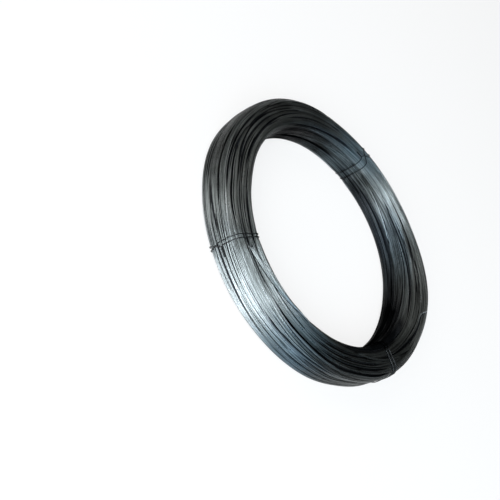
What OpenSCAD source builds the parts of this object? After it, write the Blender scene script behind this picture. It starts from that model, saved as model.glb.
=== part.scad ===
/* [Coil] */
// Clear width of the eye, across the crowns of the innermost turns
eye_d = 400; // [240:5:600]
// Thickness of the winding from the eye to the outside
build_up = 60; // [44:1:100]
// Height of the coil as it lies flat
coil_h = 64; // [48:1:110]
// Radius of the four rounded edges of the winding
edge_r = 15; // [8:0.5:18]

/* [Wire] */
// Diameter of the wound wire
wire_d = 1.6; // [1.4:0.1:3]
// Centre distance of neighbouring turns as a share of the wire's diameter
packing = 0.95; // [0.9:0.01:1.2]
// Depth of the valley between two neighbouring turns
valley = 0.6; // [0.2:0.05:0.8]

/* [Ties] */
// Diameter of the tie wire
tie_d = 1.6; // [1:0.1:2.2]
// Clearance between a tie and the turns under it
tie_gap = 0.3; // [0.2:0.05:0.5]
// Length of the twisted ends of a tie
twist_len = 14; // [8:1:24]
// Length of one full turn of the twist
twist_pitch = 7; // [6:0.5:10]

/* [Hidden] */

// One row a tie: its place round the coil in degrees, the spread of its two laps, the
// side that its twist lies on, from 0 for the eye's wall to 3 for the underside, the
// twist's place as a share of that side's flat run, and 1 or -1 for the way it is wound on
TIES = [[245, 5.5, 2, 0.5, -1], [106, 16, 1, 0.04, -1], [343, 9, 2, 0.5, -1]];

// One row a groove between two bundles of turns: its place as a share of the girth and its depth
GROOVES = [[0.225, 2], [0.275, 2.2], [0.40, 1.6], [0.495, 2.2], [0.62, 1.8], [0.93, 1.6]];
groove_half = 4;

// The winding's outline is walked by its length from the foot of the eye's wall: up the
// wall, over the top, down the outside and back along the underside, each side being a
// flat run and the rounded edge after it
eye_r = eye_d/2;
flats = [coil_h - 2*edge_r, build_up - 2*edge_r, coil_h - 2*edge_r, build_up - 2*edge_r];
edge_run = edge_r*PI/2;
side_start = [0, flats[0] + edge_run, flats[0] + flats[1] + 2*edge_run,
    flats[0] + flats[1] + flats[2] + 3*edge_run];
girth = 2*(flats[0] + flats[1]) + 4*edge_run;
edge_centres = [
    [eye_r + edge_r, coil_h - edge_r],
    [eye_r + build_up - edge_r, coil_h - edge_r],
    [eye_r + build_up - edge_r, edge_r],
    [eye_r + edge_r, edge_r]];
mid_r = eye_r + build_up/2;

function knot_place(t) = side_start[t[2]] + t[3]*flats[t[2]];
function wrap(s) = s - floor(s/girth)*girth;
function degrees(len, r) = len/r*180/PI;
function ramp(x) = let(c = min(1, max(0, x))) c*c*(3 - 2*c);

// Point of the outline at length s, moved outwards by lift, as [radius, height]
function outline(s, lift = 0) =
    let(
        at = wrap(s),
        i = at < side_start[1] ? 0 : at < side_start[2] ? 1 : at < side_start[3] ? 2 : 3,
        along = at - side_start[i],
        flat_normal = 180 - 90*i,
        normal = flat_normal - degrees(max(0, along - flats[i]), edge_r),
        centre = along < flats[i]
            ? edge_centres[(i + 3)%4] + along*[cos(flat_normal - 90), sin(flat_normal - 90)]
            : edge_centres[i])
    centre + (edge_r + lift)*[cos(normal), sin(normal)];

// The turns that show: each has a narrow crown and half a valley on either side, and one
// crown lies at mid-height of the eye's wall
turns = round(girth/(wire_d*packing));
pitch = girth/turns;
crown_half = 0.19;
turn_form = [[-crown_half, 0], [crown_half, 0], [0.5, valley]];

function groove_depth(s) = max([for (g = GROOVES)
    let(away = abs(wrap(s - g[0]*girth + girth/2) - girth/2)) g[1]*max(0, 1 - away/groove_half)]);

winding_section = [for (i = [0:turns - 1]) for (f = turn_form)
    let(s = flats[0]/2 + (i + f[0])*pitch) outline(s, -f[1] - groove_depth(s))];

// A tie is drawn down between the turns: flush with them on the eye's wall and the
// underside, so that the eye stays clear and the coil rests on its turns, and half sunk
// elsewhere. It comes up onto the turns only where its laps cross and its twist lies
tie_r = tie_d/2;
flush = 0.1;
sunk_lift = -tie_r - flush;
half_lift = 0;
proud_lift = tie_r + tie_gap;
seat_half = tie_r + tie_gap;
floor_gap = tie_gap*5/6;
floor_points = 100;
cross_run = 24;
rise_run = 14;
knot_room = 5;

// 1 where the tie lies flush and 0 where it lies half sunk
function flush_share(s) =
    let(at = wrap(s), rise = at - flats[0], fall = at - side_start[3] + edge_run)
    at < flats[0] + edge_run ? 1 - ramp(rise/edge_run) : ramp(fall/edge_run);

// 1 round the twist and the crossing before it, and 0 away from them
function proud_share(s, knot, way) =
    let(
        past = wrap(way*(s - knot) + girth/2) - girth/2,
        out = past > 0 ? past - knot_room : -cross_run - past)
    1 - ramp(out/rise_run);

function tie_lift(s, knot, way) =
    let(f = flush_share(s), k = proud_share(s, knot, way))
    k*proud_lift + (1 - k)*(f*sunk_lift + (1 - f)*half_lift);

module seat(t) {
    knot = knot_place(t);
    way = t[4];
    floor_path = [for (k = [0:floor_points - 1])
        let(s = k/floor_points*girth) outline(s, tie_lift(s, knot, way) - tie_r - floor_gap)];
    half = degrees(seat_half, eye_r);
    for (side = [-1, 1])
        rotate([0, 0, t[0] + degrees(side*t[1]/2, mid_r) - half])
            rotate_extrude(angle = 2*half, $fn = 180)
                difference() {
                    translate([eye_r - edge_r, -edge_r])
                        square([build_up + 2*edge_r, coil_h + 2*edge_r]);
                    polygon(floor_path);
                }
}

module wire_coil() {
    color("slategray")
        difference() {
            rotate_extrude($fn = 180) polygon(winding_section);
            for (t = TIES) seat(t);
        }
}

// A tie is one wire laid twice round the winding: its second lap hops over the first
// just before the twist, where its two ends are wound together and pressed down flat
twist_r = tie_r + 0.05;
twist_lift = proud_lift + twist_r;
bend_r = 2.5;
bend_run = twist_r + bend_r;
hop = tie_d + tie_gap;
hop_up = 22;
hop_down = 9;
hop_slope = 6;
lap_step = 4;
bend_steps = 4;
steps_per_twist = 12;

// Point at length s of the outline, round the coil by m from the tie's own place
function on_coil(angle, s, m, lift) =
    let(o = outline(s, lift), a = angle + degrees(m, mid_r))
    [o[0]*cos(a), o[0]*sin(a), o[1]];

// One of the two ends in the twist, from its root outwards
function twist_end(angle, spread, knot, way, phase) =
    let(steps = round(twist_len/twist_pitch*steps_per_twist))
    [for (k = [0:steps])
        let(u = k/steps*twist_len, turn = phase + 360*u/twist_pitch)
        on_coil(angle, knot + way*twist_r*cos(turn), spread/2 + bend_r + u,
            twist_lift + twist_r*sin(turn))];

// Bend between the twist's root and a lap, on the side given by which
function twist_bend(angle, spread, knot, way, which) =
    [for (k = [1:bend_steps - 1])
        let(a = 90*k/bend_steps)
        on_coil(angle, knot + way*which*(twist_r + bend_r*(1 - cos(a))),
            spread/2 + bend_r*(1 - sin(a)),
            which > 0 ? twist_lift - twist_r*ramp(a/90) : twist_lift)];

// Distance of the wire from the tie's own place after a run t from the twist
function lap_side(spread, t) = spread/2*(1
    - 2*ramp((t - girth + cross_run)/cross_run)
    + 2*ramp((t - 2*girth + cross_run)/(cross_run - bend_run)));

function lap_hop(t) = hop*ramp((t - 2*girth + hop_up)/hop_slope)
    - (hop - twist_r)*ramp((t - 2*girth + hop_down)/(hop_down - bend_run));

function laps(angle, spread, knot, way) =
    let(run = 2*(girth - bend_run), steps = round(run/lap_step))
    [for (k = [0:steps])
        let(t = bend_run + k/steps*run, s = knot + way*t)
        on_coil(angle, s, lap_side(spread, t), tie_lift(s, knot, way) + lap_hop(t))];

function backwards(list) = [for (i = [len(list) - 1:-1:0]) list[i]];

function unit(v) = v/norm(v);
function across(n, t) = unit(n - (n*t)*t);

// A round wire of radius r along a path, its rings turned as little as the path allows
module wire(path, r, sides = 8) {
    last = len(path) - 1;
    ahead = [for (i = [0:last]) unit(path[min(i + 1, last)] - path[max(i - 1, 0)])];
    normals = [for (i = 0, n = across([0, 0, 1], ahead[0]); i <= last;
        i = i + 1, n = i > last ? n : across(n, ahead[i])) n];
    points = [for (i = [0:last], k = [0:sides - 1])
        let(a = 360*k/sides, side = cross(ahead[i], normals[i]))
        path[i] + r*(cos(a)*normals[i] + sin(a)*side)];
    ends = [[for (k = [0:sides - 1]) k], [for (k = [sides - 1:-1:0]) last*sides + k]];
    skin = [for (i = [0:last - 1], k = [0:sides - 1])
        let(j = (k + 1)%sides)
        [i*sides + k, (i + 1)*sides + k, (i + 1)*sides + j, i*sides + j]];
    polyhedron(points, concat(ends, skin), convexity = 10);
}

module tie(t) {
    angle = t[0];
    spread = t[1];
    knot = knot_place(t);
    way = t[4];
    color("darkslategray")
        wire(concat(
            backwards(twist_end(angle, spread, knot, way, 0)),
            twist_bend(angle, spread, knot, way, 1),
            laps(angle, spread, knot, way),
            backwards(twist_bend(angle, spread, knot, way, -1)),
            twist_end(angle, spread, knot, way, 180)), tie_r);
}

wire_coil();
tie(TIES[0]);  // tie_1
tie(TIES[1]);  // tie_2
tie(TIES[2]);  // tie_3
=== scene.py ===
import math

import bmesh
import bpy
import numpy as np
from mathutils import Matrix, Vector, kdtree


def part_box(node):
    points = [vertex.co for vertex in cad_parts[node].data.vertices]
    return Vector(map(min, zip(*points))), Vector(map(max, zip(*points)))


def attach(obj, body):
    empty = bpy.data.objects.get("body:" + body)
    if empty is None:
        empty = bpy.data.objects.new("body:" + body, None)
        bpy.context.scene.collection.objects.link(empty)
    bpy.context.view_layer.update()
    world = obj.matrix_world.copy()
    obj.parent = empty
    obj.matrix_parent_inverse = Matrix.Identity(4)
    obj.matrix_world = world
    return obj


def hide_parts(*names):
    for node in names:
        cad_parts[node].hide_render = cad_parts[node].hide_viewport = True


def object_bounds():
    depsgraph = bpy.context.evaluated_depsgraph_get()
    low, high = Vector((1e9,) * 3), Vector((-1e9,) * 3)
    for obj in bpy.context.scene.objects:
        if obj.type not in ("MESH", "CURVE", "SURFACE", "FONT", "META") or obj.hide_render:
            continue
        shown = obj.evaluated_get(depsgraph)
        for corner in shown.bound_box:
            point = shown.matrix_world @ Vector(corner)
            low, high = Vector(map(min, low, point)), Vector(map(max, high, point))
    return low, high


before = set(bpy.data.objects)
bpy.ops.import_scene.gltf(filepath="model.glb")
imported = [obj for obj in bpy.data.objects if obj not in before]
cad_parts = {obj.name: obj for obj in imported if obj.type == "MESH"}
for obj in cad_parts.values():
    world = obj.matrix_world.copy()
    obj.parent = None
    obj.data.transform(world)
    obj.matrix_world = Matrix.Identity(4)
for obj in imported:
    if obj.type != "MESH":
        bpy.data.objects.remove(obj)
cad_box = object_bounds()

# ---- Floor and light ---------------------------------------------------------------
# A plain white studio floor that runs out of sight, one large soft box on the camera's side
# of the coil, a bluish one to its right, a weak one to its left, and a dim room that is
# lighter on one side.
FLOOR_HALF = 9.0
WHITE = (0.90, 0.90, 0.90, 1.0)
DIM = (0.046, 0.044, 0.041, 1.0)
LIGHT = (0.54, 0.52, 0.485, 1.0)
LIGHT_SIDE = (-0.87, 0.28, 0.40)
DIM_UP_TO = 0.50
LIGHT_FROM = 0.95
SHOWN_WHITE = 0.78

bm = bmesh.new()
bmesh.ops.create_grid(bm, x_segments=1, y_segments=1, size=FLOOR_HALF)
floor_mesh = bpy.data.meshes.new("floor")
bm.to_mesh(floor_mesh)
bm.free()
floor = bpy.data.objects.new("floor", floor_mesh)
bpy.context.collection.objects.link(floor)

floor_paint = bpy.data.materials.new("floor_paint")
floor_paint.use_nodes = True
nodes, links = floor_paint.node_tree.nodes, floor_paint.node_tree.links
nodes.clear()
paper = nodes.new("ShaderNodeBsdfDiffuse")
paper.inputs["Color"].default_value = WHITE
glow = nodes.new("ShaderNodeEmission")
glow.inputs["Color"].default_value = (1.0, 1.0, 1.0, 1.0)
ray = nodes.new("ShaderNodeLightPath")
seen = nodes.new("ShaderNodeMath")
seen.operation = "MAXIMUM"
seen_through = nodes.new("ShaderNodeMath")
seen_through.operation = "MAXIMUM"
share = nodes.new("ShaderNodeMath")
share.operation = "MULTIPLY"
share.inputs[1].default_value = SHOWN_WHITE
mix = nodes.new("ShaderNodeMixShader")
out = nodes.new("ShaderNodeOutputMaterial")
links.new(ray.outputs["Is Camera Ray"], seen.inputs[0])
links.new(ray.outputs["Is Glossy Ray"], seen.inputs[1])
links.new(seen.outputs[0], seen_through.inputs[0])
links.new(ray.outputs["Is Transmission Ray"], seen_through.inputs[1])
links.new(seen_through.outputs[0], share.inputs[0])
links.new(share.outputs[0], mix.inputs[0])
links.new(paper.outputs[0], mix.inputs[1])
links.new(glow.outputs[0], mix.inputs[2])
links.new(mix.outputs[0], out.inputs["Surface"])
floor.data.materials.append(floor_paint)

world = bpy.data.worlds.new("room")
world.use_nodes = True
nodes, links = world.node_tree.nodes, world.node_tree.links
air = nodes["Background"]
air.inputs["Strength"].default_value = 1.0
facing = nodes.new("ShaderNodeTexCoord")
towards = nodes.new("ShaderNodeVectorMath")
towards.operation = "DOT_PRODUCT"
towards.inputs[1].default_value = LIGHT_SIDE
shades = nodes.new("ShaderNodeValToRGB")
shades.color_ramp.elements[0].position = DIM_UP_TO
shades.color_ramp.elements[0].color = DIM
shades.color_ramp.elements[1].position = LIGHT_FROM
shades.color_ramp.elements[1].color = LIGHT
links.new(facing.outputs["Generated"], towards.inputs[0])
links.new(towards.outputs["Value"], shades.inputs["Fac"])
links.new(shades.outputs["Color"], air.inputs["Color"])
bpy.context.scene.world = world


def soft_box(name, azimuth, elevation, distance, size, watts, colour):
    """A round soft box aimed at the coil's middle: its direction in degrees, its distance
    and width in metres, its power and its colour."""
    lamp = bpy.data.lights.new(name, "AREA")
    lamp.shape = "DISK"
    lamp.size = size
    lamp.energy = watts
    lamp.color = colour
    box = bpy.data.objects.new(name, lamp)
    a, e = math.radians(azimuth), math.radians(elevation)
    at = distance * Vector((math.cos(e) * math.cos(a), math.cos(e) * math.sin(a), math.sin(e)))
    box.location = at
    box.rotation_euler = at.to_track_quat("Z", "Y").to_euler()
    bpy.context.collection.objects.link(box)


soft_box("key_box", azimuth=265, elevation=31, distance=5.2, size=4.7, watts=510,
         colour=(0.90, 0.96, 1.0))
soft_box("blue_box", azimuth=314, elevation=26, distance=5.2, size=4.4, watts=108,
         colour=(0.50, 0.78, 1.0))
soft_box("side_box", azimuth=208, elevation=26, distance=5.2, size=3.0, watts=66,
         colour=(1.0, 0.98, 0.95))

bpy.context.scene.view_settings.view_transform = "Standard"

# ---- Camera ------------------------------------------------------------------------
# A plain 57 mm lens, 1.2 m away, looking down on the coil as it lies and rolled so that
# the coil stands aslant in the picture.
CAMERA_AT = Vector((-0.2388, -1.1235, 0.7970))
LOOKS_AT = Vector((-0.0730, -0.1879, 0.0320))
ROLL = math.radians(63.37)
LENS = 56.83
FILM_WIDTH = 36.0

camera = bpy.data.objects.new("camera", bpy.data.cameras.new("camera"))
camera.data.lens = LENS
camera.data.sensor_width = FILM_WIDTH
back = (CAMERA_AT - LOOKS_AT).normalized()
level = Vector((0, 0, 1)).cross(back).normalized()
upright = back.cross(level)
right = math.cos(ROLL) * level + math.sin(ROLL) * upright
up = back.cross(right)
camera.matrix_world = Matrix((
    (right.x, up.x, back.x, CAMERA_AT.x),
    (right.y, up.y, back.y, CAMERA_AT.y),
    (right.z, up.z, back.z, CAMERA_AT.z),
    (0, 0, 0, 1),
))
bpy.context.collection.objects.link(camera)
bpy.context.scene.camera = camera

# ---- Winding -----------------------------------------------------------------------
# One long soft steel wire, 1.6 mm thick, wound into a ring. Its turns lie in flat
# bundles that shift sideways round the ring, part from each other in places and slip
# below one another. All lengths here are in millimetres.
MM = 1000
low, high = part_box("wire_coil")
HEIGHT = MM * high.z
OUTER = MM * (high.x - low.x) / 2
TOP = MM * cad_box[1].z
EYE = 200.0
EDGE = 15.0
WIRE = 1.6
PITCH = 1.62
STEPS = 240
SIDES = 6

build_up = OUTER - EYE
walls = np.array([HEIGHT, build_up, HEIGHT, build_up]) - 2 * EDGE
quarter = EDGE * math.pi / 2
starts = np.concatenate(([0], np.cumsum(walls + quarter)))
girth = starts[4]
middle = EYE + build_up / 2
corners = np.array([
    [EYE + EDGE, EDGE],
    [EYE + EDGE, HEIGHT - EDGE],
    [OUTER - EDGE, HEIGHT - EDGE],
    [OUTER - EDGE, EDGE],
])


def outline(s, lift):
    """Radius and height of a point at length s round the winding's section."""
    at = np.mod(s, girth)
    side = np.searchsorted(starts[1:4], at, side="right")
    along = at - starts[side]
    flat = math.pi - side * math.pi / 2
    normal = flat - np.clip(along - walls[side], 0, None) / EDGE
    reach = EDGE + lift
    corner = corners[side]
    run = np.clip(along, 0, walls[side])
    x = corner[..., 0] + run * np.cos(flat - math.pi / 2) + reach * np.cos(normal)
    z = corner[..., 1] + run * np.sin(flat - math.pi / 2) + reach * np.sin(normal)
    return x, z


SEED = 11
turn = np.arange(STEPS) * 2 * math.pi / STEPS
rng = np.random.default_rng(SEED)


def smooth(x):
    """0 below 0 and 1 above 1, with an even bend between."""
    x = np.clip(x, 0, 1)
    return x * x * (3 - 2 * x)


def swell(around, first, last, soft):
    """1 between two angles in degrees and 0 away from them, going the short way up."""
    past = np.mod(np.degrees(around) - first, 360)
    span = np.mod(last - first, 360)
    past = np.where(past > (360 + span) / 2, past - 360, past)
    return smooth(past / soft + 0.5) * smooth((span - past) / soft + 0.5)


RUN_ON = 0.25


def path(around, points):
    """A place that runs evenly from point to point, each an angle in degrees and a place,
    goes on a little beyond the first and the last and stays there."""
    first = points[0][0]
    angles = [(angle - first) % 360 for angle, _ in points]
    places = [place for _, place in points]
    past = np.mod(np.degrees(around) - first, 360)
    past = np.where(past > (360 + angles[-1]) / 2, past - 360, past)
    for row in (angles, places):
        row.insert(0, (1 + RUN_ON) * row[0] - RUN_ON * row[1])
        row.append((1 + RUN_ON) * row[-1] - RUN_ON * row[-2])
    return np.interp(past, angles, places)


def on_side(s, at, flat_half, soft):
    """1 on one side of the section and 0 on the others, fading over the edges."""
    away = np.abs(np.mod(s - at + girth / 2, girth) - girth / 2)
    return smooth((flat_half + soft - away) / soft)


def hump(around, angle, reach):
    """A soft rise round one angle, both in degrees."""
    away = np.mod(np.degrees(around) - angle + 180, 360) - 180
    return np.exp(-(away / reach) ** 2)


def humps(around, rows):
    """Several soft rises, each with its angle, its reach and how much it comes to."""
    return sum(most * hump(around, angle, reach) for angle, reach, most in rows)


def waves(around, count, most=9, least=1):
    """Slow uneven waves, a row for each wire, between -1 and 1 or so. They run from the
    least to the most times round the ring."""
    order = np.arange(least, most + 1)
    height = rng.normal(size=(count, len(order))) / np.sqrt(order)
    phase = rng.uniform(0, 2 * math.pi, (count, len(order)))
    each = height[:, :, None] * np.sin(order[None, :, None] * around + phase[:, :, None])
    return each.sum(1) / np.sqrt((height ** 2).sum(1) / 2)[:, None] / 2


# How the ring has sagged out of true, as rows of humps: outwards at the outside, inwards at
# the eye, and upwards as a share of the height. In one place the outer wall has rolled
# rounder, and is drawn in by the square of how far a wire lies from mid-height
SAG_OUT = [
    (39, 25, 11.5), (106, 28, -4.5), (126, 20, -2.4),
    (208, 20, 3.1), (236, 14, 1.6), (320, 10, -2.5),
]
SAG_IN = [(26, 30, 6.5), (214, 16, 4.6)]
HEAVE = [(33, 26, 0.05), (187, 13, 0.055)]
ROLLED = [(179, 15, 1.4)]
ROLLED_HALF = 18
ROLLED_MOST = 1.3
CLEAR_OUTSIDE = 0.1
CLEAR_TOP = 0.02


def settled(x, z, around):
    """The ring as it has sagged out of true, kept within its own overall size."""
    off_middle = np.minimum(np.abs(z - HEIGHT / 2) / ROLLED_HALF, ROLLED_MOST)
    out = humps(around, SAG_OUT) - humps(around, ROLLED) * off_middle ** 2
    outer_share = np.clip((x - EYE) / build_up, 0, 1)
    moved = x + out * outer_share - humps(around, SAG_IN) * (1 - outer_share)
    squared = np.maximum(np.abs(np.cos(around)), np.abs(np.sin(around)))
    most = (OUTER - CLEAR_OUTSIDE) / squared
    raised = np.minimum(z * (1 + humps(around, HEAVE)), TOP - CLEAR_TOP)
    return np.minimum(moved, np.maximum(most, x)), raised


def in_place(x, z, around):
    """Points in metres from their radius and height in millimetres and their angle."""
    return np.stack((x * np.cos(around), x * np.sin(around), z), 1) / MM


def points_of(mesh):
    """A mesh's points, one to a row."""
    co = np.zeros(len(mesh.vertices) * 3)
    mesh.vertices.foreach_get("co", co)
    return co.reshape(-1, 3)


def paint(mesh, name, values):
    """One number for each point of a mesh, for its material to read."""
    layer = mesh.attributes.new(name, "FLOAT", "POINT")
    layer.data.foreach_set("value", np.asarray(values, np.float32))


# The turns drift round the section as they go round the ring: the angle and the place
# where they have drifted most, how far over the section this reaches, and the drift.
# Two short swerves come on top of that, each with its reach in degrees after its angle
DRIFTS = [(8, 82, 34, 30), (283, 126, 30, 18), (350, 40, 20, 6), (30, 190, 30, 4)]
SWERVES = [(255, 26, 98, 14, 8), (15, 24, 55, 14, 8)]


def drifted(q, around):
    """Where the turns that would lie at q without any drift lie at each angle."""
    s = q + 0 * around
    for angle, at, reach, most in DRIFTS:
        once_round = (1 + np.cos(around - math.radians(angle))) / 2
        s = s + most * np.exp(-((q - at) / reach) ** 2) * once_round
    for angle, wide, at, reach, most in SWERVES:
        s = s + most * np.exp(-((q - at) / reach) ** 2) * hump(around, angle, wide)
    return s


# Places where the bundles part: the width of each parting and the points it runs through,
# each an angle and a place round the section
PARTED = [
    (1.8, (232, 81), (250, 83), (270, 85)),
    (3.6, (276, 86), (290, 88), (308, 94), (336, 97)),
    (2.8, (174, 62), (203, 62), (212, 64)),
    (2.4, (176, 71), (216, 73)),
    (2.6, (178, 80), (206, 78), (222, 76)),
    (2.8, (188, 88), (204, 91), (226, 99)),
    (2.6, (203, 86), (222, 88), (240, 96)),
    (2.6, (200, 102), (214, 111), (230, 118)),
    (3.0, (200, 131), (220, 138)),
    (2.4, (223, 130), (230, 131)),
    (1.8, (236, 127), (243, 129)),
    (1.2, (245, 126), (256, 128), (273, 133)),
    (1.2, (246, 136), (262, 139)),
    (2.6, (273, 112), (306, 109)),
    (1.2, (273, 92), (302, 99)),
    (1.4, (283, 99), (305, 104)),
    (1.8, (273, 131), (300, 132)),
    (2.4, (228, 57), (248, 65)),
    (3.0, (300, 82), (320, 85), (335, 86)),
    (2.0, (293, 72), (335, 78)),
    (1.6, (296, 64), (330, 66)),
    (1.4, (16, 54), (40, 48), (80, 41)),
    (3.4, (46, 65), (64, 64), (80, 62)),
    (1.8, (121, 51), (140, 47), (160, 45)),
    (2.8, (125, 14), (155, 11)),
    (2.0, (138, 64), (162, 59)),
    (2.4, (348, 73), (0, 78), (20, 87)),
    (2.0, (350, 80), (358, 92)),
    (1.6, (10, 18), (40, 12)),
    (2.0, (60, 105), (110, 98)),
    (2.4, (120, 118), (165, 112)),
    (2.2, (20, 125), (75, 120)),
    (1.8, (310, 20), (345, 26)),
    (2.0, (200, 15), (245, 12)),
    (1.8, (250, 25), (290, 29)),
    (2.0, (95, 135), (140, 130)),
    (1.6, (340, 122), (10, 124)),
]
BUNDLES = 38
BUNDLE_UNEVEN = 0.25
BUNDLE_WANDER = 0.9
BUNDLE_LEAST = 2.0
BUNDLE_EASY = 2.2
EASINGS = 40

# Besides those, each bundle's edge opens a little all round and a little more in a few
# places: how wide and how many degrees long
OPEN_ALL_ROUND = 0.12
SMALL_PARTINGS = 3
SMALL_WIDTH = (0.3, 1.5)
SMALL_LENGTH = (12, 45)
PARTING_TAPER = 12
PARTING_CORE = 4
LED_IN = 30
HELD_FAST = 0.98

even = np.arange(BUNDLES)[:, None]
uneven = even + rng.uniform(-BUNDLE_UNEVEN, BUNDLE_UNEVEN, (BUNDLES, 1))
lines = drifted(uneven * girth / BUNDLES, turn)
lines += BUNDLE_WANDER * waves(turn, BUNDLES, most=5)
opening = np.full((BUNDLES, STEPS), OPEN_ALL_ROUND)
for b in range(BUNDLES):
    for _ in range(SMALL_PARTINGS):
        first = rng.uniform(0, 360)
        width = rng.uniform(*SMALL_WIDTH)
        opening[b] += width * swell(turn, first, first + rng.uniform(*SMALL_LENGTH), PARTING_TAPER)

# Each parting is given to the bundle edge that runs nearest to it, with the partings
# before it kept on their own side. Then the edges ease apart until no bundle is too narrow
placed = []
held = np.zeros((BUNDLES, STEPS))
for width, *points in PARTED:
    first, last = points[0][0], points[-1][0]
    across = path(turn, points)
    there = swell(turn, first, last, PARTING_CORE) > 0.5
    away = [np.abs(line - across)[there].mean() for line in lines]
    for other, other_across, other_there in placed:
        shared = there & other_there
        if shared.any():
            below = (across - other_across)[shared].mean() > 0
            for b in range(BUNDLES):
                if b == other or (b > other) != below:
                    away[b] += girth
    b = int(np.argmin(away))
    placed.append((b, across, there))
    lines[b] += (across - lines[b]) * swell(turn, first, last, LED_IN)
    opening[b] += width * swell(turn, first, last, PARTING_TAPER)
    held[b] = np.maximum(held[b], HELD_FAST * swell(turn, first, last, LED_IN))
for _ in range(EASINGS):
    for b in range(1, BUNDLES):
        least = BUNDLE_EASY + opening[b] / 2 + opening[b - 1] / 2
        short = np.clip(lines[b - 1] + least - lines[b], 0, None)
        gives = (1 - held[b]) / (2 - held[b] - held[b - 1])
        lines[b] += short * gives
        lines[b - 1] -= short * (1 - gives)
for b in range(1, BUNDLES):
    least = BUNDLE_LEAST + opening[b] / 2 + opening[b - 1] / 2
    lines[b] = np.maximum(lines[b], lines[b - 1] + least)

# The wires of each bundle: where a bundle narrows, its spare wires sink below the others.
# They dip towards a parting, wander sideways and sink here and there for a stretch, but
# lie tighter in the eye. The lifts are millimetres above the winding's own outline
NARROWEST = 1.0
SPARE_ROOM = 0.4
SPARE_DOWN = 1.5
RANK_AHEAD = 0.6
RANK_FADE = 1.8
DIP = 0.12
DIP_BY_WIDTH = 0.20
DIP_REACH = 1.4
TOGETHER_DOWN = 0.35
TIGHTER_IN_EYE = 0.6
TIGHT_FADE = 16
SHALLOW = 0.20
SUNK = 1.2
SUNK_FROM = 0.5
SUNK_FADE = 0.25
SIDEWAYS = 0.22
TONE_EACH = 0.9

wires_s, wires_lift, wires_tone = [], [], []
for b in range(BUNDLES):
    after = (b + 1) % BUNDLES
    gap, next_gap = opening[b], opening[after]
    begin = lines[b] + gap / 2
    end = lines[after] + (girth if after == 0 else 0) - next_gap / 2
    wide = np.clip(end - begin, NARROWEST, None)
    room_for = wide / PITCH
    count = int(math.ceil(room_for.max() - SPARE_ROOM))
    rank = rng.permutation(count)
    up_share = smooth((room_for[None, :] - rank[:, None] + RANK_AHEAD) / RANK_FADE)
    laid = np.cumsum(up_share, 0) - up_share / 2
    s = begin + wide * laid / up_share.sum(0)
    lift = -(1 - up_share) * SPARE_DOWN
    lift -= (DIP + DIP_BY_WIDTH * gap) * np.exp(-(s - begin) / DIP_REACH)
    lift -= (DIP + DIP_BY_WIDTH * next_gap) * np.exp(-(end - s) / DIP_REACH)
    lift -= TOGETHER_DOWN * (1 + waves(turn, 1, most=4)) * np.ones((count, 1))
    loose = 1 - TIGHTER_IN_EYE * on_side(s, walls[0] / 2, walls[0] / 2, TIGHT_FADE)
    lift -= SHALLOW * np.abs(waves(turn, count, most=14, least=2)) * loose
    lift -= SUNK * smooth((waves(turn, count) - SUNK_FROM) / SUNK_FADE) * loose
    s = s + SIDEWAYS * waves(turn, count, most=12, least=2)
    wires_s.append(s)
    wires_lift.append(lift)
    tone_of_bundle = rng.uniform(-TONE_EACH, TONE_EACH)
    wires_tone.append(tone_of_bundle + rng.uniform(-TONE_EACH, TONE_EACH, count))

wires_s, wires_lift = np.concatenate(wires_s), np.concatenate(wires_lift)
wires_tone = np.concatenate(wires_tone)

# Strands that cross over the others: the number of wires in each, how far it stands up and
# the points where it comes up and goes down again
CROSSING = [
    (4, 0.5, (249, 76), (288, 47)),
    (1, 1.3, (256, 64), (290, 52)),
    (2, 0.2, (318, 58), (352, 84)),
    (2, 0.0, (108, 34), (160, 14)),
    (1, 0.3, (58, 52), (92, 42)),
    (2, 0.0, (285, 122), (330, 131)),
    (1, 0.2, (60, 20), (100, 34)),
    (2, 0.0, (130, 100), (175, 88)),
    (2, 0.0, (20, 112), (62, 126)),
    (1, 0.2, (92, 82), (128, 74)),
]
CROSSING_TAPER = 14
CROSSING_FROM = -3.4
CROSSING_UNEVEN = 0.15
CROSSING_TONE = (-0.2, 1.0)
PUSHED_DOWN = 1.45
PUSHED_BESIDE = 1.3
PUSHED_FADE = 1.2


def crossed(around, s):
    """1 below the crossing strands and 0 away from them."""
    below = np.zeros_like(s)
    for count, _, *points in CROSSING:
        shown = swell(around, points[0][0], points[-1][0], CROSSING_TAPER)
        reach = count * PITCH / 2 + PUSHED_BESIDE - np.abs(s - path(around, points))
        below = np.maximum(below, shown * smooth(reach / PUSHED_FADE))
    return below


wires_lift -= PUSHED_DOWN * crossed(turn, wires_s)
for count, rise, *points in CROSSING:
    across = path(turn, points)
    shown = swell(turn, points[0][0], points[-1][0], CROSSING_TAPER)
    for k in range(count):
        beside = (k - (count - 1) / 2) * PITCH
        s = across + beside + CROSSING_UNEVEN * waves(turn, 1, most=12, least=2)
        lift = shown * (rise - CROSSING_FROM) + CROSSING_FROM
        lift = lift - CROSSING_UNEVEN * np.abs(waves(turn, 1, most=14, least=2))
        wires_s = np.vstack((wires_s, s))
        wires_lift = np.vstack((wires_lift, lift))
        wires_tone = np.append(wires_tone, rng.uniform(*CROSSING_TONE))

# Where the tie wires press on the winding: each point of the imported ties, once
SAME_POINT_DIGITS = 4
ties = []
for name in ("tie_1", "tie_2", "tie_3"):
    co = MM * points_of(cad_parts[name].data)
    ties.append(np.unique(np.round(co, SAME_POINT_DIGITS), axis=0))

HAIR = 1e-6
ON_FLAT = 1e-4


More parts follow.
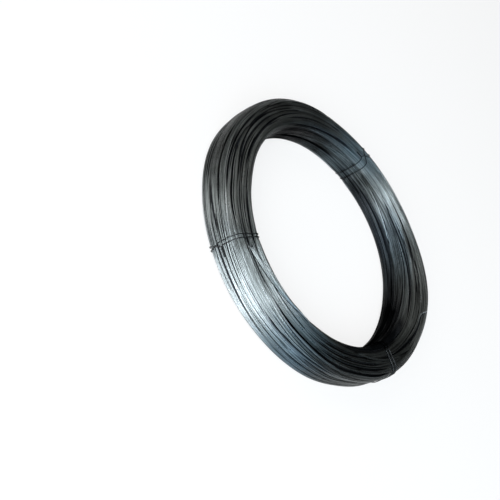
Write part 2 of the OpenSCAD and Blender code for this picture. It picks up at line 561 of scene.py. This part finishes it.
def place_on(point):
    """Angle, length round the section and lift of points given in millimetres."""
    around = np.arctan2(point[:, 1], point[:, 0])
    x, z = np.hypot(point[:, 0], point[:, 1]), point[:, 2]
    cx, cz = np.clip(x, EYE + EDGE, OUTER - EDGE), np.clip(z, EDGE, HEIGHT - EDGE)
    dx, dz = x - cx, z - cz
    lift = np.hypot(dx, dz) - EDGE
    normal = np.arctan2(dz, dx)
    s = np.zeros(len(x))
    for side in range(4):
        flat = math.pi - side * math.pi / 2
        off = np.mod(flat - normal + math.pi / 4, 2 * math.pi) - math.pi / 4
        here = (off > -HAIR) & (off < math.pi / 2 - HAIR)
        run = (z - EDGE, x - EYE - EDGE, HEIGHT - EDGE - z, OUTER - EDGE - x)[side]
        bend = walls[side] + off * EDGE
        value = np.where(off < ON_FLAT, np.clip(run, 0, walls[side]), bend)
        s = np.where(here, starts[side] + value, s)
    return around, s, lift


# A tie's points by their place on the winding, with the lowest lift of the tie's own wire
# around each, and the angle that the tie lies at. Angles jump at 180 degrees, so a tie that
# lies there is at 180
TIE_REACH = 2.2
press_tree = []
for tie in ties:
    around, s, lift = place_on(tie)
    tree = kdtree.KDTree(len(tie))
    for i, (a, b) in enumerate(zip(around, s)):
        tree.insert((a * middle, b, 0), i)
    tree.balance()
    low_side = np.zeros(len(tie))
    for i, (a, b) in enumerate(zip(around, s)):
        near = tree.find_range((a * middle, b, 0), TIE_REACH)
        low_side[i] = min(lift[j] for _, j, _ in near)
    at_seam = np.ptp(around) > math.pi
    press_tree.append((tree, low_side, math.pi if at_seam else around.mean()))

PRESSED_OVER = 7.0
PRESSED_WITHIN = 38
PRESSED_CLEAR = 0.12
SEAM = 3


def pressed(around, s, lift):
    """The lift of wires near a tie, drawn down so that they pass below it."""
    lift = lift.copy()
    for tree, low_side, centre in press_tree:
        away = (np.mod(around - centre + math.pi, 2 * math.pi) - math.pi) * middle
        for k, i in np.argwhere(np.abs(away) < PRESSED_WITHIN):
            a = centre + away[k, i] / middle
            for shift in (0, girth, -girth):
                at = s[k, i] + shift
                if -SEAM < at < girth + SEAM:
                    _, j, far = tree.find((a * middle, at, 0))
                    under = min(low_side[j] - PRESSED_CLEAR, lift[k, i])
                    share = math.exp(-(far / PRESSED_OVER) ** 2)
                    lift[k, i] = lift[k, i] * (1 - share) + under * share
                    break
    return lift


def patches(around, s, rows):
    """Soft patches, each with its strength, its place on the section (the middle, half the
    width and the fading) and its place round the ring (the angle and the reach)."""
    return sum(much * on_side(s, *across) * hump(around, *at) for much, across, at in rows)


# Painted shade on the steel: how strong it is in the eye and outside, half its width there
# and its fading, and the painted highlights that take its place. It spreads to a stretch of
# the upper side, and in some patches the wire is painted lighter or darker as light and shade
PAINTED_SHADE_IN_EYE = 3.4
PAINTED_SHADE_IN_EYE_WIDTH = (16, 14)
PAINTED_HIGHLIGHT_IN_EYE = [(72, 28, 0.88)]
PAINTED_SHADE_OUTSIDE = 3.0
PAINTED_SHADE_OUTSIDE_WIDTH = (24, 12)
PAINTED_HIGHLIGHT_OUTSIDE = [(258, 38, 1.23)]
PAINTED_SHADE_ABOVE = 0.6
PAINTED_SHADE_ABOVE_ACROSS = (73, 14, 5)
PAINTED_SHADE_ABOVE_STRETCH = (284, 8, 20)
PAINTED_LIGHT_PATCHES = [
    (-0.9, (73, 14, 5), (352, 16)),
    (0.9, (86, 10, 10), (214, 22)),
    (-0.9, (78, 12, 8), (50, 30)),
    (1.6, (99, 5, 6), (298, 14)),
    (1.2, (46, 9, 8), (136, 12)),
]


def painted_light_and_shade(around, s):
    """How much lighter or darker a wire is painted, as painted shade and painted highlights."""
    in_eye = on_side(s, starts[0] + walls[0] / 2, *PAINTED_SHADE_IN_EYE_WIDTH)
    in_eye = in_eye * (1 - humps(around, PAINTED_HIGHLIGHT_IN_EYE))
    outside = on_side(s, starts[2] + walls[2] / 2, *PAINTED_SHADE_OUTSIDE_WIDTH)
    outside = outside * (1 - humps(around, PAINTED_HIGHLIGHT_OUTSIDE))
    above = on_side(s, *PAINTED_SHADE_ABOVE_ACROSS) * swell(around, *PAINTED_SHADE_ABOVE_STRETCH)
    dark = PAINTED_SHADE_IN_EYE * in_eye + PAINTED_SHADE_OUTSIDE * outside + PAINTED_SHADE_ABOVE * above
    return patches(around, s, PAINTED_LIGHT_PATCHES) - dark


# Patches with a painted bluish sheen: two in the eye and one outside
BLUE_SHEEN = [
    (1.0, (26, 22, 16), (55, 20)),
    (0.7, (26, 22, 16), (136, 16)),
    (0.8, (128, 18, 10), (296, 12)),
]

# Painted shade: soft dark patches in the eye and one outside, then grooves that it darkens,
# each with how much of it, half the width and the points that it runs through
SHADE_PATCHES = [
    (0.36, (2, 10, 14), (55, 48)),
    (0.17, (2, 10, 14), (88, 18)),
    (1.4, (18, 27, 18), (334, 26)),
    (0.8, (14, 18, 10), (0, 22)),
    (0.6, (10, 24, 14), (162, 20)),
    (0.18, (120, 24, 14), (186, 19)),
]
SHADED_GROOVES = [
    (0.45, 1.7, (50, 65), (66, 64.5), (82, 62)),
    (0.30, 1.0, (16, 54), (40, 48), (63, 43), (80, 41)),
    (0.28, 0.8, (121, 50), (140, 47), (158, 45)),
    (0.45, 1.6, (122, 14), (155, 10)),
    (0.22, 1.0, (128, 66), (158, 60)),
    (0.30, 1.0, (30, 72), (50, 71)),
    (0.45, 1.6, (278, 86), (290, 88), (308, 94), (334, 97)),
    (0.35, 1.2, (302, 82), (320, 85), (333, 86)),
    (0.30, 1.0, (295, 72), (333, 78)),
    (0.30, 0.8, (298, 64), (328, 66)),
    (0.30, 0.8, (176, 62), (205, 62)),
    (0.25, 0.8, (180, 80), (206, 78), (220, 76)),
    (0.25, 0.8, (190, 88), (204, 91), (222, 98)),
    (0.40, 1.5, (223, 130.5), (232, 129), (242, 127)),
    (0.20, 1.6, (200, 131), (218, 137)),
    (0.40, 1.2, (276, 111), (303, 109.5)),
]
SHADE_TAPER = 14
SHADE_FADE = 1.6
SHADE_MOST = 0.65


def painted_shade(around, s):
    """How black the painted shade makes the steel, which always shows a little through it."""
    black = patches(around, s, SHADE_PATCHES)
    for much, half, *points in SHADED_GROOVES:
        shown = swell(around, points[0][0], points[-1][0], SHADE_TAPER)
        off_groove = np.abs(s - path(around, points))
        black += much * shown * smooth((half + SHADE_FADE - off_groove) / SHADE_FADE)
    return np.minimum(black, SHADE_MOST)


# A wire this far below the winding's outline is painted wholly black as shade. The drawn
# marks' pattern is this wide round the ring, and each next wire starts this far on in it
DEEPEST = 3.5
MARKS_ALONG = 2.2
MARKS_APART = 3.7


def spun(radius, sides, steps):
    """A closed ring of round section about the upright axis, in millimetres. Spinning
    leaves its faces in any order, so they are put in the order of their corners."""
    bm = bmesh.new()
    upright_circle = Matrix.Translation((middle, 0, 0)) @ Matrix.Rotation(math.pi / 2, 4, "X")
    bmesh.ops.create_circle(bm, segments=sides, radius=radius, matrix=upright_circle)
    bmesh.ops.spin(bm, geom=bm.verts[:] + bm.edges[:], cent=(0, 0, 0), axis=(0, 0, 1),
                   angle=2 * math.pi, steps=steps, use_merge=True)
    bmesh.ops.recalc_face_normals(bm, faces=bm.faces[:])
    bm.verts.index_update()
    total = len(bm.verts)
    for face in bm.faces:
        numbers = [corner.index for corner in face.verts]
        face.index = min(numbers) * total + max(numbers)
    bm.faces.sort()
    return bm


def wire_rings(name, s, lift, pressed_lift, tone, thick, sides, steps):
    """Closed rings of wire, one for each row of s and lift, as one mesh. The painted shade
    comes from how deep a wire lies without the ties, and from the painted shade patches and
    grooves."""
    bm = spun(thick / 2, sides, steps)
    ring = bpy.data.meshes.new("ring")
    bm.to_mesh(ring)
    for _ in range(1, len(s)):
        bm.from_mesh(ring)
    mesh = bpy.data.meshes.new(name)
    bm.to_mesh(mesh)
    bm.free()
    co = points_of(mesh)
    k = np.arange(len(co)) // len(ring.vertices)
    bpy.data.meshes.remove(ring)
    across, outwards = co[:, 2], np.hypot(co[:, 0], co[:, 1]) - middle
    i = np.rint(np.arctan2(co[:, 1], co[:, 0]) / (2 * math.pi / steps)).astype(int) % steps
    x, z = outline(s[k, i] - across, pressed_lift[k, i] - thick / 2 + outwards)
    a = i * 2 * math.pi / steps
    x, z = settled(x, z, a)
    mesh.vertices.foreach_set("co", in_place(x, z, a).ravel())
    run = mesh.attributes.new("along", "FLOAT_VECTOR", "POINT")
    marks = np.stack((np.cos(a) * MARKS_ALONG, np.sin(a) * MARKS_ALONG, k * MARKS_APART), 1)
    run.data.foreach_set("vector", marks.ravel())
    paint(mesh, "tone", tone[k] + painted_light_and_shade(a, s[k, i]))
    paint(mesh, "blue_sheen", patches(a, s[k, i], BLUE_SHEEN))
    paint(mesh, "deep", np.clip(-lift[k, i] / DEEPEST + painted_shade(a, s[k, i]), 0, 1))
    mesh.shade_smooth()
    piece = bpy.data.objects.new(name, mesh)
    bpy.context.collection.objects.link(piece)
    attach(piece, "root")
    return piece


# Drawn steel: a cool grey, painted darker as shade and lighter as highlights, drawn marks
# along the wire, small dull patches, and painted shade in the hollows that takes away its
# colour and then its metallic look
# The ramp's greys run from dark tone and painted shade to light tone and painted highlights
DARK_AND_SHADED_GREY = (0.029, 0.032, 0.030, 1)
WIRE_GREY = (0.281, 0.310, 0.311, 1)
PALE_AND_LIT_GREY = (0.675, 0.724, 0.752, 1)
# Painted shade: the unshaded colour, the shade greys, and where it starts, deepens and goes black
UNSHADED = (1, 1, 1, 1)
SHADE_GREY = (0.09, 0.09, 0.10, 1)
SHADE_BLACK = (0.010, 0.010, 0.011, 1)
SHADE_AT = (0.12, 0.50, 0.80)
# The tint of the painted bluish sheen
BLUE_TINT = (0.84, 1.0, 1.16, 1)

# The scales of the marks along the wire, of the dull patches and of the fine marks. Then
# how each changes the shade and the roughness, from one span to another
STREAK_SCALE = 1.4
PATCH_SCALE = 14
MARK_SCALE = 420
MARK_HARSH = 0.6
TONE_TO_SHADE = (-3, 1, -0.42, 0.14)
STREAK_TO_SHADE = (0.3, 0.7, -0.16, 0.16)
PATCH_TO_SHADE = (0.35, 0.65, -0.10, 0.10)
MARK_TO_SHADE = (0.3, 0.7, -0.05, 0.05)
MARK_TO_ROUGH = (0.3, 0.7, -0.05, 0.05)
STREAK_TO_ROUGH = (0.3, 0.7, 0.38, 0.28)
BUMP_SHARE = 0.25
BUMP_DEPTH = 0.0002

steel = bpy.data.materials.new("drawn_steel")
steel.use_nodes = True
nodes, links = steel.node_tree.nodes, steel.node_tree.links
surface = nodes["Principled BSDF"]


def noise(vector, scale, detail, rough=0.5):
    """Cloudy noise over the given coordinates."""
    n = nodes.new("ShaderNodeTexNoise")
    n.inputs["Scale"].default_value = scale
    n.inputs["Detail"].default_value = detail
    n.inputs["Roughness"].default_value = rough
    links.new(vector, n.inputs["Vector"])
    return n.outputs["Fac"]


def attribute(name, socket):
    """A number or a vector that was painted on the wires."""
    n = nodes.new("ShaderNodeAttribute")
    n.attribute_name = name
    return n.outputs[socket]


def spread(value, low_in, high_in, low_out, high_out):
    """A value taken from one span to another, and held at its ends."""
    n = nodes.new("ShaderNodeMapRange")
    n.inputs["From Min"].default_value = low_in
    n.inputs["From Max"].default_value = high_in
    n.inputs["To Min"].default_value = low_out
    n.inputs["To Max"].default_value = high_out
    links.new(value, n.inputs["Value"])
    return n.outputs["Result"]


def together(a, b):
    """Two values added."""
    n = nodes.new("ShaderNodeMath")
    n.operation = "ADD"
    links.new(a, n.inputs[0])
    links.new(b, n.inputs[1])
    return n.outputs[0]


# The mix node's sockets for its share, its two colours and its result
MIX_SHARE = 0
MIX_FIRST = 6
MIX_SECOND = 7
MIX_RESULT = 2


def multiplied():
    """A mix that multiplies two colours."""
    n = nodes.new("ShaderNodeMix")
    n.data_type = "RGBA"
    n.blend_type = "MULTIPLY"
    n.inputs[MIX_SHARE].default_value = 1.0
    return n


along = attribute("along", "Vector")
tone = attribute("tone", "Fac")
here = nodes.new("ShaderNodeTexCoord").outputs["Object"]
streak = noise(along, STREAK_SCALE, 4)
patch = noise(here, PATCH_SCALE, 3)
mark = noise(here, MARK_SCALE, 4, MARK_HARSH)
value = together(spread(tone, *TONE_TO_SHADE), spread(streak, *STREAK_TO_SHADE))
value = together(value, spread(patch, *PATCH_TO_SHADE))
value = together(value, spread(mark, *MARK_TO_SHADE))
ramp = nodes.new("ShaderNodeValToRGB")
ramp.label = "shades"
ramp.color_ramp.elements[0].color = DARK_AND_SHADED_GREY
ramp.color_ramp.elements[1].color = PALE_AND_LIT_GREY
ramp.color_ramp.elements.new(0.5).color = WIRE_GREY
links.new(spread(value, -0.5, 0.5, 0, 1), ramp.inputs["Fac"])
# Painted shade from the deep attribute darkens the colour and takes away the metallic look
shade_ramp = nodes.new("ShaderNodeValToRGB")
shade_ramp.color_ramp.elements[0].position = SHADE_AT[0]
shade_ramp.color_ramp.elements[0].color = UNSHADED
shade_ramp.color_ramp.elements[1].position = SHADE_AT[2]
shade_ramp.color_ramp.elements[1].color = SHADE_BLACK
shade_ramp.color_ramp.elements.new(SHADE_AT[1]).color = SHADE_GREY
deep = attribute("deep", "Fac")
links.new(deep, shade_ramp.inputs["Fac"])
shaded_colour = multiplied()
links.new(ramp.outputs["Color"], shaded_colour.inputs[MIX_FIRST])
links.new(shade_ramp.outputs["Color"], shaded_colour.inputs[MIX_SECOND])
tinted = multiplied()
tinted.inputs[MIX_SECOND].default_value = BLUE_TINT
links.new(attribute("blue_sheen", "Fac"), tinted.inputs[MIX_SHARE])
links.new(shaded_colour.outputs[MIX_RESULT], tinted.inputs[MIX_FIRST])
links.new(tinted.outputs[MIX_RESULT], surface.inputs["Base Color"])
links.new(spread(deep, SHADE_AT[1], SHADE_AT[2], 1, 0), surface.inputs["Metallic"])
surface.inputs["Specular IOR Level"].default_value = 0.0
dull = together(spread(mark, *MARK_TO_ROUGH), spread(streak, *STREAK_TO_ROUGH))
links.new(dull, surface.inputs["Roughness"])
bump = nodes.new("ShaderNodeBump")
bump.inputs["Strength"].default_value = BUMP_SHARE
bump.inputs["Distance"].default_value = BUMP_DEPTH
links.new(mark, bump.inputs["Height"])
links.new(bump.outputs["Normal"], surface.inputs["Normal"])

below_ties = pressed(np.broadcast_to(turn, wires_s.shape), wires_s, wires_lift)

GROUPS = 5
for g in range(GROUPS):
    mine = slice(g * len(wires_s) // GROUPS, (g + 1) * len(wires_s) // GROUPS)
    piece = wire_rings(f"turns_{g + 1}", wires_s[mine], wires_lift[mine], below_ties[mine],
                       wires_tone[mine], WIRE, SIDES, STEPS)
    piece.data.materials.append(steel)
    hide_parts("wire_coil")

# ---- Turns below -------------------------------------------------------------------
# The next layer of the same wire, which shows between the bundles. It lies closer and
# evener than the outermost turns.
BED_STEPS = 120
BED_TURNS = 122
BED_SIDES = 5
BED_SIDEWAYS = 0.3
BED_LIFT = -1.75
BED_UNEVEN = 0.35
BED_DIP = 0.45
BED_DIP_FROM = 1.0
BED_DIP_REACH = 2.5
BED_PUSHED = 1.2
BED_TONE = (-1, 0.6)
bed_turn = np.arange(BED_STEPS) * 2 * math.pi / BED_STEPS
bed_s = drifted(((np.arange(BED_TURNS) + 0.5) * girth / BED_TURNS)[:, None], bed_turn)
bed_s = bed_s + BED_SIDEWAYS * waves(bed_turn, BED_TURNS, most=10, least=2)
bed_lift = BED_LIFT - BED_UNEVEN * np.abs(waves(bed_turn, BED_TURNS, most=10, least=2))
every = STEPS // BED_STEPS
for line, width in zip(lines[:, ::every], opening[:, ::every]):
    away = np.mod(bed_s - line + girth / 2, girth) - girth / 2
    wide = np.clip(width - BED_DIP_FROM, 0, None)
    bed_lift -= BED_DIP * wide * np.exp(-(away / BED_DIP_REACH) ** 2)
bed_lift -= BED_PUSHED * crossed(bed_turn, bed_s)
bed_pressed = pressed(np.broadcast_to(bed_turn, bed_s.shape), bed_s, bed_lift)
bed_tone = rng.uniform(*BED_TONE, BED_TURNS)
bed = wire_rings("turns_below", bed_s, bed_lift, bed_pressed, bed_tone, WIRE, BED_SIDES,
                 BED_STEPS)
bed.data.materials.append(steel)
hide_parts("wire_coil")

# ---- Turns inside ------------------------------------------------------------------
# The closed mass of the hidden turns, as one plain ring of the same steel. It is painted
# black as shade and only stops the light between the wires above it.
INSIDE_LIFT = -3.9
INSIDE_SIDES = 64
bm = spun(EDGE, INSIDE_SIDES, BED_STEPS)
mesh = bpy.data.meshes.new("turns_inside")
bm.to_mesh(mesh)
bm.free()
co = points_of(mesh)
around = np.arctan2(co[:, 1], co[:, 0])
upward = np.arctan2(co[:, 2], np.hypot(co[:, 0], co[:, 1]) - middle)
turned = np.mod(math.pi - upward, 2 * math.pi)
x, z = outline(turned / (2 * math.pi) * girth, INSIDE_LIFT)
x, z = settled(x, z, around)
mesh.vertices.foreach_set("co", in_place(x, z, around).ravel())
paint(mesh, "deep", np.ones(len(co)))
mesh.shade_smooth()
mesh.materials.append(steel)
piece = bpy.data.objects.new("turns_inside", mesh)
bpy.context.collection.objects.link(piece)
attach(piece, "root")
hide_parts("wire_coil")

# ---- Wire end ----------------------------------------------------------------------
# The outer end of the long wire: it comes up from between its neighbours, bends over the
# shoulder and is tucked down. A cut end, so it is closed by a flat cap.

# Its track: the angle, the place round the section and the lift of each point
END_TRACK = [
    (8, 80.0, -2.6), (16, 80.2, -1.6), (20.2, 80.4, -0.2),
    (21.2, 81.8, 1.2), (23.0, 86.8, 1.6), (24.8, 91.9, 1.7),
]
END_FINE = 60
END_SOFTENED = 6
END_CLEAR_TOP = 0.05
# Its proud last stretch is bare steel painted lighter, partly as a painted glint, and where it
# comes up from between the wires it has painted shade
BARE_AND_LIT_FROM = (21.8, 22.4)
BARE_AND_LIT_TONE = (-0.5, 4)
END_SHADED_UP_TO = (12, 21)
END_SHADE = (0.4, 0)
END_MARKS = 10
END_GREY = (0.60, 0.62, 0.65, 1)
END_GREY_AT = 0.62
END_ROUGH = 0.6

track = np.array(END_TRACK)
share = np.linspace(0, 1, len(track))
fine = np.linspace(0, 1, END_FINE)
around, s, lift = (np.interp(fine, share, column) for column in track.T)
for _ in range(END_SOFTENED):
    for row in (around, s, lift):
        row[1:-1] = (row[:-2] + row[1:-1] + row[2:]) / 3
around = np.radians(around)
x, z = outline(s, lift - WIRE / 2)
x, z = settled(x, z, around)
z = np.minimum(z, TOP - WIRE / 2 - END_CLEAR_TOP)
curve = bpy.data.curves.new("wire_end", "CURVE")
curve.dimensions = "3D"
curve.bevel_depth = WIRE / 2 / MM
curve.bevel_resolution = 2
curve.use_fill_caps = True
spline = curve.splines.new("POLY")
spline.points.add(END_FINE - 1)
spline_co = np.column_stack((in_place(x, z, around), np.ones(END_FINE)))
spline.points.foreach_set("co", spline_co.ravel())
laid = bpy.data.objects.new("wire_end", curve)
mesh = bpy.data.meshes.new_from_object(laid)
bpy.data.objects.remove(laid)
bm = bmesh.new()
bm.from_mesh(mesh)
bmesh.ops.remove_doubles(bm, verts=bm.verts[:], dist=HAIR)
bmesh.ops.recalc_face_normals(bm, faces=bm.faces[:])
bm.to_mesh(mesh)
bm.free()
co = points_of(mesh)
around = np.degrees(np.arctan2(co[:, 1], co[:, 0]))
paint(mesh, "tone", np.interp(around, BARE_AND_LIT_FROM, BARE_AND_LIT_TONE))
paint(mesh, "deep", np.interp(around, END_SHADED_UP_TO, END_SHADE))
run = mesh.attributes.new("along", "FLOAT_VECTOR", "POINT")
run.data.foreach_set("vector", END_MARKS * co.ravel())
mesh.shade_smooth()
end_steel = steel.copy()
end_steel.name = "cut_end_steel"
stops = next(n for n in end_steel.node_tree.nodes if n.label == "shades").color_ramp.elements
stops[2].position = END_GREY_AT
stops[2].color = END_GREY
shader = end_steel.node_tree.nodes["Principled BSDF"]
end_steel.node_tree.links.remove(shader.inputs["Roughness"].links[0])
shader.inputs["Roughness"].default_value = END_ROUGH
mesh.materials.append(end_steel)
piece = bpy.data.objects.new("wire_end", mesh)
bpy.context.collection.objects.link(piece)
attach(piece, "root")
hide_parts("wire_coil")

# ---- Ties --------------------------------------------------------------------------
# Three short steel wires, each laid twice round the winding and closed by a twist. The
# annealing has turned them nearly black. They sag with the winding.
TIE_TONES = {"tie_1": (0.03, 0.16), "tie_2": (0.02, 0.11), "tie_3": (0.03, 0.085)}
TIE_GREY = (0.60, 0.62, 0.64)
TIE_ROUGH = 0.5
# Towards the eye the ties are painted darker as shade, and they take the painted shade of the
# patches and grooves under them
TIE_SHADE = 0.35
TIE_SHADE_UP_TO = 68

for name, (dark, light) in TIE_TONES.items():
    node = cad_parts[name]
    bm = bmesh.new()
    bm.from_mesh(node.data)
    bmesh.ops.remove_doubles(bm, verts=bm.verts[:], dist=HAIR)
    mesh = bpy.data.meshes.new(name + "_wire")
    bm.to_mesh(mesh)
    bm.free()
    co = MM * points_of(mesh)
    around, s, _ = place_on(co)
    x, z = settled(np.hypot(co[:, 0], co[:, 1]), co[:, 2], around)
    paint(mesh, "deep", painted_shade(around, s) + TIE_SHADE * smooth((TIE_SHADE_UP_TO - s) / SHADE_TAPER))
    mesh.vertices.foreach_set("co", in_place(x, z, around).ravel())
    mesh.shade_smooth()
    piece = bpy.data.objects.new(name + "_wire", mesh)
    bpy.context.collection.objects.link(piece)
    finer = piece.modifiers.new("finer", "SUBSURF")
    finer.levels = finer.render_levels = 1

    tie_steel = steel.copy()
    tie_steel.name = name + "_steel"
    stops = next(n for n in tie_steel.node_tree.nodes if n.label == "shades")
    for stop, share in zip(stops.color_ramp.elements, (dark, (dark + light) / 2, light)):
        stop.color = [share * c for c in TIE_GREY] + [1]
    shader = tie_steel.node_tree.nodes["Principled BSDF"]
    tie_steel.node_tree.links.remove(shader.inputs["Roughness"].links[0])
    shader.inputs["Roughness"].default_value = TIE_ROUGH
    mesh.materials.append(tie_steel)
    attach(piece, "root")
    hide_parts(name)
